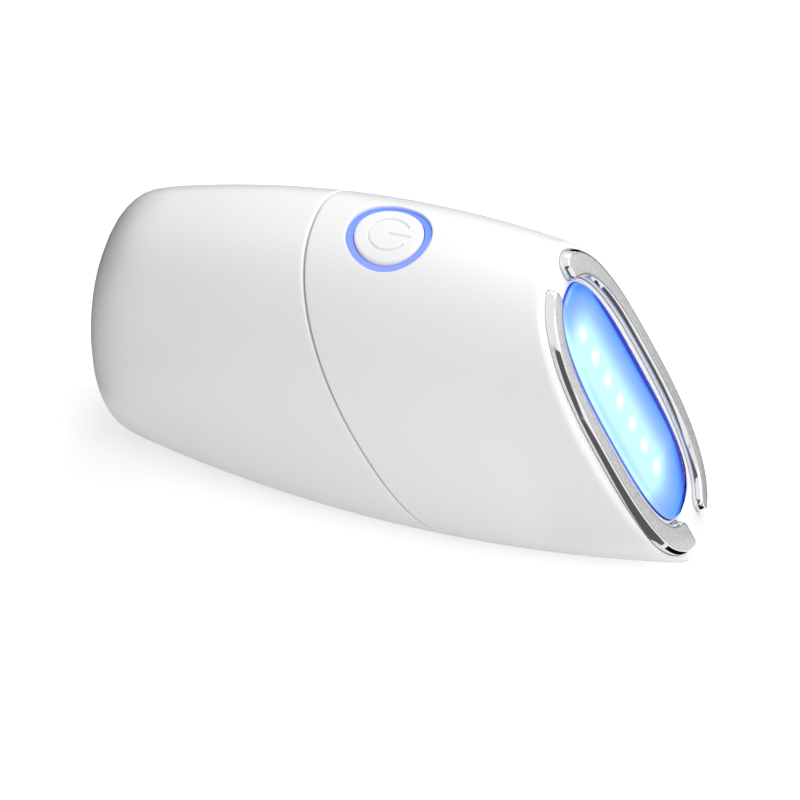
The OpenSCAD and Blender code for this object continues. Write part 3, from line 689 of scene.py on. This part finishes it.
# Button ring: a light guide of milky blue acrylic round the cap, held from inside by its flange.
# Four small diodes on the board below light it.
ring_in, ring_out, ring_flange, ring_foot, ring_seat, ring_down = 5.14, 6.15, 7.6, -4.0, -3.2, 0.5
ring_rows = [(ring_in, ring_foot), (ring_in, None, ring_down + 0.1), (ring_in + 0.04, None, ring_down + 0.03),
             (5.26, None, ring_down), (5.6, None, ring_down), (6.0, None, ring_down),
             (ring_out - 0.04, None, ring_down + 0.03), (ring_out, None, ring_down + 0.15), (ring_out, ring_seat),
             (ring_flange, ring_seat), (ring_flange, ring_foot), (ring_in, ring_foot)]


def round_button(radius, height=None, drop=0.0, points=128):
    """A ring round the button's axis, at a fixed height or at a drop below the skin."""
    return [button_point(radius, 2 * math.pi * i / points, height, drop=drop) for i in range(points)]


draw_tube([round_button(*row) for row in ring_rows])
light_ring = close_mesh("light_ring")

# Lit acrylic: milky blue; its glow and its deeper tone towards the far side are painted light of the diodes below.
ring_acrylic, tree, shader = new_material("lit_blue_acrylic", {"Emission Strength": 0.15, "Roughness": 0.25})
place = add(tree, "ShaderNodeTexCoord")
across = add(tree, "ShaderNodeMapping", {"Location": button_top * mm, "Rotation": (0, -button_lean, 0),
                                         "Scale": (mm, mm, mm)}, {"Vector": place.outputs["Object"]},
             vector_type="TEXTURE")
parts = add(tree, "ShaderNodeSeparateXYZ", links={0: across})
side_light = add(tree, "ShaderNodeMapRange", {"From Min": -6, "From Max": 6}, {"Value": parts.outputs["Y"]})
shine = add(tree, "ShaderNodeMix", {"A": srgb("#8DA2FF"), "B": srgb("#5B8BFF")}, {"Factor": side_light},
            data_type="RGBA")
tree.links.new(shine.outputs["Result"], shader.inputs["Base Color"])
tree.links.new(shine.outputs["Result"], shader.inputs["Emission Color"])
light_ring.data.materials.append(ring_acrylic)
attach(light_ring, "front")
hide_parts("button_ring")

# Button cap: a round key moulded in white ABS whose top follows the shell, with the usual power sign
# cut 0.3 mm deep into it, a flange below that stops it in the ring, and a stem on the switch.
sign_radius, sign_half, sign_deep, sign_gap = 2.95, 0.21, 0.3, math.radians(34)
sign_line = (-0.1, 3.05)


def sign_cut(x, y):
    """Depth of the power sign at a point of the cap, x towards the head."""
    turn = math.atan2(y, x)
    if abs(turn) >= sign_gap:
        arc = abs(math.hypot(x, y) - sign_radius)
    else:
        end = math.copysign(sign_gap, turn)
        arc = math.hypot(x - sign_radius * math.cos(end), y - sign_radius * math.sin(end))
    bar = math.hypot(x - min(max(x, sign_line[0]), sign_line[1]), y)
    near = min(arc, bar) / sign_half
    return sign_deep * (1 - near * near) ** 2 if near < 1 else 0


cap_points, cap_drop = 216, 0.1
cap_rows = [(0, -5.2), (1.4, -5.2), (1.4, -4.85), (5.8, -4.85), (5.9, -4.75), (5.9, -4.25), (5.8, -4.15), (5.0, -4.15),
            (5.0, None, 0.45), (4.97, None, 0.28), (4.89, None, 0.17), (4.76, None, 0.11)]
cap_turns = [2 * math.pi * i / cap_points for i in range(cap_points)]
sign_radii = [4.6, 4.2, 3.8, 3.4] + [3.26 - 0.065 * i for i in range(50)] + [0]
draw_tube([round_button(*row, points=cap_points) for row in cap_rows] + [
    [button_point(r, t, drop=cap_drop + sign_cut(r * math.cos(t), r * math.sin(t))) for t in cap_turns]
    for r in sign_radii
])
button_cap = close_mesh("cap_with_sign", 40)
button_cap.data.materials.append(white_abs)
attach(button_cap, "button")
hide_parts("button_cap")

# Window: a crowned block of clear acrylic, polished all over. It is pushed out through the face from inside, and its
# flange rests behind the face on the seal.
def window_scaled(share, h):
    return window_ring(0, 0, h, share)


draw_tube(
    [window_scaled(share, -1.2) for share in (0, 0.3, 0.6, 0.85)]
    + [window_ring(-0.4, -0.4, -1.2), window_ring(-0.4, -0.4, -2.0), window_ring(0.4, 1.6, -2.0),
       window_ring(0.4, 1.6, -1.1), window_ring(0, 0, -1.1), window_ring(0, 0, 0.3), window_ring(-0.05, -0.05, 0.5),
       window_ring(-0.18, -0.18, 0.68), window_ring(-0.42, -0.42, 0.8)]
    + [window_scaled(share, 0.8 + 0.16 * (1 - share * share)) for share in (0.93, 0.85, 0.7, 0.5, 0.3, 0.1, 0)]
)
window = close_mesh("window_block")

# Clear acrylic: water clear, with a slow ripple in its polish that breaks the reflections a little.
clear_acrylic, tree, shader = new_material("polished_clear_acrylic", {
    "Base Color": srgb("#FFFFFF"), "Transmission Weight": 1, "IOR": 1.49, "Specular IOR Level": 0.1})
place = add(tree, "ShaderNodeTexCoord")
ripple = add(tree, "ShaderNodeTexNoise", {"Scale": 1 / 0.004, "Detail": 1}, {"Vector": place.outputs["Object"]})
polish = add(tree, "ShaderNodeMapRange", {"To Min": 0.02, "To Max": 0.06}, {"Value": ripple})
tree.links.new(polish.outputs[0], shader.inputs["Roughness"])
window.data.materials.append(clear_acrylic)

# Its side is dyed blue all round, as a line that keeps stray light in. Its tone is a painted glow: deep blue at the
# far edge, seen from inside, paler at the near one as painted light of the diodes, darker towards the lower end.
blue_edge, tree, shader = new_material("dyed_blue_edge_painted_glow", {
    "Emission Strength": 1, "Base Color": srgb("#020416"), "Roughness": 0.5, "Specular IOR Level": 0.1})
window_frame = {"Location": (face_origin + face_down * window_middle) * mm, "Rotation": (0, face_turn, 0),
                "Scale": (mm, mm, mm)}
place = add(tree, "ShaderNodeTexCoord")
on_face = add(tree, "ShaderNodeMapping", window_frame, {"Vector": place.outputs["Object"]}, vector_type="TEXTURE")
parts = add(tree, "ShaderNodeSeparateXYZ", links={0: on_face})
far_side = add(tree, "ShaderNodeMapRange", {"From Min": -5, "From Max": 3}, {"Value": parts.outputs["Y"]})
low_end = add(tree, "ShaderNodeMapRange", {"From Min": 8, "From Max": 20}, {"Value": parts.outputs["X"]})
tone = add(tree, "ShaderNodeMix", {"A": srgb("#6F82EA"), "B": srgb("#0636D0")}, {"Factor": far_side}, data_type="RGBA")
tone = add(tree, "ShaderNodeMix", {"B": srgb("#000078")}, {"Factor": low_end, "A": tone}, data_type="RGBA")
tree.links.new(tone.outputs["Result"], shader.inputs["Emission Color"])
window.data.materials.append(blue_edge)
for face in window.data.polygons:
    if abs(face.normal.dot(face_out)) < 0.5 and (face.center / mm - face_origin).dot(face_out) < 0.25:
        face.material_index = 1
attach(window, "front")
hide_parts("lens")

# Reflector: a diffuser plate moulded in milky acrylic that fills the hollow of the window from behind.
draw_tube(
    [window_scaled(share, -3.3) for share in (0, 0.5)] + [window_ring(0.3, 1.4, -3.3), window_ring(0.3, 1.4, -1.98)]
    + [window_ring(-0.38, -0.38, -1.98), window_ring(-0.38, -0.38, -1.18)]
    + [window_scaled(share, -1.18) for share in (0.9, 0.7, 0.5, 0.3, 0.15, 0)]
)
reflector = close_mesh("glow_plate")

# Lit diffuser, its light painted as a glow: near white over each diode, pale cyan round the row, then blue and
# deep blue out to its edge.
lit_plate, tree, shader = new_material("lit_white_reflector", {
    "Emission Strength": 1.08, "Base Color": srgb("#101820"), "Roughness": 0.6, "Specular IOR Level": 0.1})
led_pitch, half_row, row_middle, row_side = 4.77, 3.5, -0.97, -0.65
place = add(tree, "ShaderNodeTexCoord")
row_frame = dict(window_frame, Location=face_point(window_middle + row_middle, row_side, 0) * mm)
on_row = add(tree, "ShaderNodeMapping", row_frame, {"Vector": place.outputs["Object"]}, vector_type="TEXTURE")
parts = add(tree, "ShaderNodeSeparateXYZ", links={0: on_row})
down, across = parts.outputs["X"], parts.outputs["Y"]

# The light falls off past the upper end of the row, past the lower one, where it follows a root, and beside it,
# more steeply on the far side. No way from the row is as long as 20 mm.
upper_end, lower_end, lower_fall, beside_from, steep_from, steep_by = -12.83, 14.97, 2.75, 0.9, 6.9, 0.8
longest = 20
above = add(tree, "ShaderNodeMapRange", {"From Min": upper_end, "From Max": upper_end - longest, "To Max": longest},
            {"Value": down})
below = add(tree, "ShaderNodeMapRange", {"From Min": lower_end, "From Max": lower_end + longest,
                                         "To Max": longest * lower_fall ** 2}, {"Value": down})
below = add(tree, "ShaderNodeMath", operation="SQRT", links={0: below})
steeper = add(tree, "ShaderNodeMapRange", {"From Min": steep_from, "From Max": steep_from + longest,
                                           "To Max": longest * steep_by}, {"Value": across})
beside = add(tree, "ShaderNodeMath", {1: beside_from}, {0: across}, operation="ADD")
beside = add(tree, "ShaderNodeMath", operation="ADD", links={0: beside, 1: steeper})
from_row = add(tree, "ShaderNodeCombineXYZ", links={0: above, 1: below, 2: beside})
from_row = add(tree, "ShaderNodeVectorMath", operation="LENGTH", links={0: from_row})
fall = add(tree, "ShaderNodeMapRange", {"From Max": 10}, {"Value": from_row})
spread_light = add(tree, "ShaderNodeValToRGB", links={"Fac": fall})
stops = [(0.0, "#CDFFFF"), (0.25, "#CBFFFF"), (0.35, "#BDF0FF"), (0.43, "#AADFFF"), (0.5, "#9BCCFF"), (0.6, "#85B7FF"),
         (0.7, "#71ACFF"), (0.78, "#549DFE"), (0.84, "#3682FA"), (0.88, "#0054F0"), (0.93, "#0017CD"), (1.0, "#00009D")]
for number, (at, code) in enumerate(stops):
    stop = spread_light.color_ramp.elements[number] if number < 2 else spread_light.color_ramp.elements.new(at)
    stop.position, stop.color = at, srgb(code)

# A white spot of painted light over each diode, by its distance from the nearest one of the row.
fold = add(tree, "ShaderNodeMath", {1: led_pitch / 2}, {0: down}, operation="PINGPONG")
to_led = add(tree, "ShaderNodeCombineXYZ", links={0: fold, 1: across})
to_led = add(tree, "ShaderNodeVectorMath", operation="LENGTH", links={0: to_led})
near_led = add(tree, "ShaderNodeMapRange", {"From Min": 1.7, "From Max": 0.6}, {"Value": to_led},
               interpolation_type="SMOOTHSTEP")
in_row = add(tree, "ShaderNodeMath", {1: 0, 2: half_row * led_pitch}, {0: down}, operation="COMPARE")
hot = add(tree, "ShaderNodeMath", operation="MULTIPLY", links={0: near_led, 1: in_row})
shine = add(tree, "ShaderNodeMix", {"B": srgb("#FFFFFF")}, {"Factor": hot, "A": spread_light}, data_type="RGBA")
tree.links.new(shine.outputs["Result"], shader.inputs["Emission Color"])
reflector.data.materials.append(lit_plate)
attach(reflector, "front")
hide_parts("reflector")


# Contact strips: two hooked bars of chromed metal, polished on their rounded sides and satin on the
# flat top. Each sits in a groove of the face and its two pins reach the diode board.
def worked(name, dark, light, grain_mm, roughness, metal=0.0, relief_mm=0.02, stretch=(1, 1, 1),
           gloss_span=0.08, strength=0.3, detail=4):
    """A material whose tone, gloss and relief follow one grain of a given size, drawn out along an axis."""
    made, tree, shader = new_material(name, {"Metallic": metal})
    place = add(tree, "ShaderNodeTexCoord")
    drawn_out = add(tree, "ShaderNodeMapping", {"Scale": stretch}, {"Vector": place.outputs["Object"]})
    grain = add(tree, "ShaderNodeTexNoise", {"Scale": 1 / (grain_mm * mm), "Detail": detail}, {"Vector": drawn_out})
    tone = add(tree, "ShaderNodeMix", {"A": srgb(dark), "B": srgb(light)}, {"Factor": grain}, data_type="RGBA")
    gloss = add(tree, "ShaderNodeMapRange", {"To Min": roughness - gloss_span, "To Max": roughness + gloss_span},
                {"Value": grain})
    relief = add(tree, "ShaderNodeBump", {"Strength": strength, "Distance": relief_mm * mm}, {"Height": grain})
    tree.links.new(tone.outputs["Result"], shader.inputs["Base Color"])
    tree.links.new(gloss.outputs[0], shader.inputs["Roughness"])
    tree.links.new(relief.outputs[0], shader.inputs["Normal"])
    return made


# Polished chrome: a neutral mirror under a breath of haze, which carries the white room and the dark flags.
polished_chrome, tree, shader = new_material("polished_chrome", {"Metallic": 1, "Base Color": srgb("#E6E6E8")})
place = add(tree, "ShaderNodeTexCoord")
haze = add(tree, "ShaderNodeTexNoise", {"Scale": 1 / 0.002, "Detail": 3}, {"Vector": place.outputs["Object"]})
polish = add(tree, "ShaderNodeMapRange", {"To Min": 0.04, "To Max": 0.09}, {"Value": haze})
tree.links.new(polish.outputs[0], shader.inputs["Roughness"])

# Satin chrome: blasted before plating, so it shines wide and soft. The grain is drawn at 0.3 mm, which is coarser
# than the real one, so that it shows.
satin_chrome = worked("satin_chrome", "#BEBEC0", "#FFFFFF", 0.3, 0.485, 1, 0.03,
                      gloss_span=0.065, strength=0.1, detail=2)

# The side of a strip, as inset and height: an upright foot, a side that leans in and a rounded top edge.
strip_side_line = [(0, strip_low), (0, 0.1), (0.02, 0.5), (0.05, 0.66), (0.09, 0.74), (0.32, 1.19), (0.37, 1.26),
                   (0.43, 1.32), (0.5, 1.36), (0.58, 1.39), (0.66, strip_high)]
pin_at = (8, 10)
for name, half_turn in (("upper", False), ("lower", True)):
    foot = strip_outline(name)
    rings = [[turned_on_face(p, h, half_turn) for p in drawn_in(foot, inset)] for inset, h in strip_side_line]
    draw_tube(rings)
    bpy.ops.mesh.edge_face_add()
    bpy.ops.mesh.select_all(action="DESELECT")
    drawn = bmesh.from_edit_mesh(bpy.context.object.data)
    row = drawn.verts.layers.int["row"]
    for v in drawn.verts:
        v.select_set(v[row] == 0)
    drawn.select_flush_mode()
    bmesh.update_edit_mesh(bpy.context.object.data)
    bpy.ops.mesh.edge_face_add()
    for u in (-pin_at[0], pin_at[0]):
        pin_foot = turned_on_face(Vector((u, pin_at[1])), 0, half_turn)
        lathe([(0, -2.9), (0.5, -2.9), (0.6, -2.8), (0.6, -0.3), (0, -0.3)], pin_foot, face_out, 24)
    strip = close_mesh("strip_" + name, 40)
    strip.data.materials.append(polished_chrome)
    strip.data.materials.append(satin_chrome)
    for face in strip.data.polygons:
        if face.normal.dot(face_out) > 0.995:
            face.material_index = 1
    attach(strip, "front")
    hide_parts("contact_strip_" + name)


# Inside: parts that keep the shape of the CAD model, each dressed in its own working material. The grain that
# stamping, drawing or moulding leaves is what shows, and where it is finer than 0.1 mm it is drawn coarser.
def dress(material, *nodes):
    """Gives CAD nodes that stay as they are a material."""
    for node in nodes:
        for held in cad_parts[node].material_slots:
            held.material = material


# Lens seal: a flat gasket cut from the same grey silicone as the seam's seal, pressed between the window's flange
# and the back of the face.
dress(grey_silicone, "lens_seal")

# Strip springs: four bent leaves stamped from spring brass, soldered to the diode board and pressed on the pins of
# the strips. They are warm and bright, with fine streaks.
dress(worked("stamped_spring_brass", "#A87E38", "#D9B368", 0.15, 0.3, 1, 0.01), "strip_springs")

# Terminals and bridge: stamped and bent from nickel-plated strip steel, pushed into the holder and onto the posts
# of the cover. They shine grey, with rolling marks along their height.
dress(worked("rolled_nickel_plate", "#B3AFA6", "#D8D5CE", 0.25, 0.28, 1, 0.008, (1, 1, 0.1)),
      "terminal_plus", "terminal_minus", "cover_contact")

# Screws: turned steel, zinc plated, driven into the pads, posts and bosses of the housing. They show the turning
# round their heads and a faint blue-grey cast.
dress(worked("zinc_plated_steel", "#92969C", "#C3C6CB", 0.12, 0.36, 1, 0.01),
      "face_screws", "board_screws", "holder_screws")

# Capacitors: cans drawn from aluminium over wound foil, soldered under the main board. They are light, with the
# fine grain of drawn metal.
dress(worked("drawn_aluminium_can", "#B4B6BA", "#D6D8DB", 0.2, 0.3, 1, 0.01), "capacitors")

# Boost coil: a grooved drum of pressed and sintered ferrite, soldered to the main board. It is near black and dull,
# with a coarse pepper grain.
dress(worked("sintered_ferrite", "#26272A", "#43454A", 0.2, 0.7, 0, 0.03), "boost_coil")

# Control chip: black epoxy moulded round its die, soldered to the main board. It keeps the matt bloom that the
# mould leaves.
dress(worked("moulded_black_epoxy", "#141416", "#26262A", 0.15, 0.6, 0, 0.01), "control_chip")

# Push switch: a body of black glass-filled nylon, soldered to the main board, with short pale streaks of fibre. The
# plunger in it is plain cream acetal, and the stem of the cap presses it.
dress(worked("glass_filled_nylon", "#151517", "#2E2F33", 0.3, 0.5, 0, 0.015, (0.3, 1, 1)), "switch_body")
dress(worked("moulded_acetal", "#C9C4B4", "#DDD9CC", 0.5, 0.42), "switch_plunger")

# Diodes: packages of white ceramic-filled resin, soldered to the two boards. The light of the chip in each is
# painted over the white as a pale blue glow.
led_resin = worked("white_led_resin", "#DCE8FF", "#F4F8FF", 0.2, 0.4)
shader = led_resin.node_tree.nodes["Principled BSDF"]
shader.inputs["Emission Color"].default_value = srgb("#A9D2FF")
shader.inputs["Emission Strength"].default_value = 0.6
dress(led_resin, "led_chips", "ring_leds")

# Battery leads: two wires in soft red PVC, soldered from the front terminals to the main board, with the slight
# orange peel that the extruder leaves.
dress(worked("extruded_red_pvc", "#A81C1C", "#C43430", 0.3, 0.45, 0, 0.02), "battery_leads")

# Boards: glass cloth in epoxy, screwed to the housing, green on the main board and white on the diode board. The
# cloth's square weave shows through the solder mask as a shallow relief. Its real threads are about 0.5 mm apart,
# and they are drawn 3.1 mm apart so that they show.
drawn_pitch, wave_factor = math.pi * mm, 20
band_scale = 2 * math.pi / (wave_factor * drawn_pitch)


def laminate(name, dark, light):
    """Solder mask over woven cloth."""
    made = worked(name, dark, light, 2.0, 0.38, relief_mm=0.03, strength=0.35)
    tree = made.node_tree
    place = tree.nodes["Texture Coordinate"]
    warp, weft = [add(tree, "ShaderNodeTexWave", {"Scale": band_scale, "Distortion": 0.4},
                      {"Vector": place.outputs["Object"]}, bands_direction=way) for way in "XY"]
    cloth = add(tree, "ShaderNodeMath", operation="MULTIPLY", links={0: warp.outputs["Fac"], 1: weft.outputs["Fac"]})
    relief = tree.nodes["Principled BSDF"].inputs["Normal"].links[0].from_node
    tree.links.new(cloth.outputs[0], relief.inputs["Height"])
    return made


dress(laminate("green_board_laminate", "#0C4424", "#14592F"), "main_board")
dress(laminate("white_board_laminate", "#DEDCD2", "#EFEEE8"), "led_board")

# Ribbon: copper tracks laminated between two polyimide films, soldered to both boards. The tracks show as darker
# stripes, drawn 3.1 mm apart where the real ones are about 0.5 mm, so that they show.
ribbon_film = worked("polyimide_ribbon", "#8A4A12", "#CF8A34", 1.0, 0.32)
tree = ribbon_film.node_tree
place = tree.nodes["Texture Coordinate"]
tracks = add(tree, "ShaderNodeTexWave", {"Scale": band_scale}, {"Vector": place.outputs["Object"]},
             bands_direction="Y")
tone = tree.nodes["Principled BSDF"].inputs["Base Color"].links[0].from_node
tree.links.new(tracks.outputs["Fac"], tone.inputs["Factor"])
dress(ribbon_film, "led_ribbon")

# Battery holder: a twin barrel moulded in white ABS from an unpolished tool, screwed to the housing by its ears. It
# is dull, with a spark-eroded grain.
dress(worked("eroded_white_abs", "#DFDFDD", "#ECECEA", 0.35, 0.55, 0, 0.03), "battery_holder")

# Battery cells: steel cans in a jacket of printed film, slate grey with a copper band at the tip, slid into the
# holder from behind. The lower cell's tip is towards the head and the upper one's towards the tail.
cell_skin = worked("printed_cell_film", "#31363F", "#31363F", 1.5, 0.3, 0, 0)
tree = cell_skin.node_tree
shader = tree.nodes["Principled BSDF"]
slate = shader.inputs["Base Color"].links[0].from_socket
parts = add(tree, "ShaderNodeSeparateXYZ", links={0: tree.nodes["Texture Coordinate"].outputs["Object"]})
cell_low, cell_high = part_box("battery_cells")
middle_x, middle_z = [(cell_low[i] + cell_high[i]) / 2 for i in (0, 2)]
half_cell = (cell_high[0] - cell_low[0]) / 2
band_wide, tip_bare, foot_bare = 0.014, 0.0022, 0.0009
lower = add(tree, "ShaderNodeMath", {1: middle_z}, {0: parts.outputs["Z"]}, operation="LESS_THAN")
tip_way = add(tree, "ShaderNodeMath", {1: 2, 2: -1}, {0: lower}, operation="MULTIPLY_ADD")
from_middle = add(tree, "ShaderNodeMath", {1: middle_x}, {0: parts.outputs["X"]}, operation="SUBTRACT")
to_tip = add(tree, "ShaderNodeMath", operation="MULTIPLY", links={0: from_middle, 1: tip_way})
band, tip, heel = [
    add(tree, "ShaderNodeMath", {1: limit}, {0: to_tip}, operation=side)
    for limit, side in ((half_cell - band_wide, "GREATER_THAN"), (half_cell - tip_bare, "GREATER_THAN"),
                        (foot_bare - half_cell, "LESS_THAN"))
]
bare = add(tree, "ShaderNodeMath", operation="MAXIMUM", links={0: tip, 1: heel})
paint = add(tree, "ShaderNodeMix", {"B": srgb("#B4703C")}, {"Factor": band, "A": slate}, data_type="RGBA")
paint = add(tree, "ShaderNodeMix", {"B": srgb("#C9CACC")}, {"Factor": bare, "A": paint}, data_type="RGBA")
tree.links.new(paint.outputs["Result"], shader.inputs["Base Color"])
tree.links.new(bare.outputs[0], shader.inputs["Metallic"])
dress(cell_skin, "battery_cells")
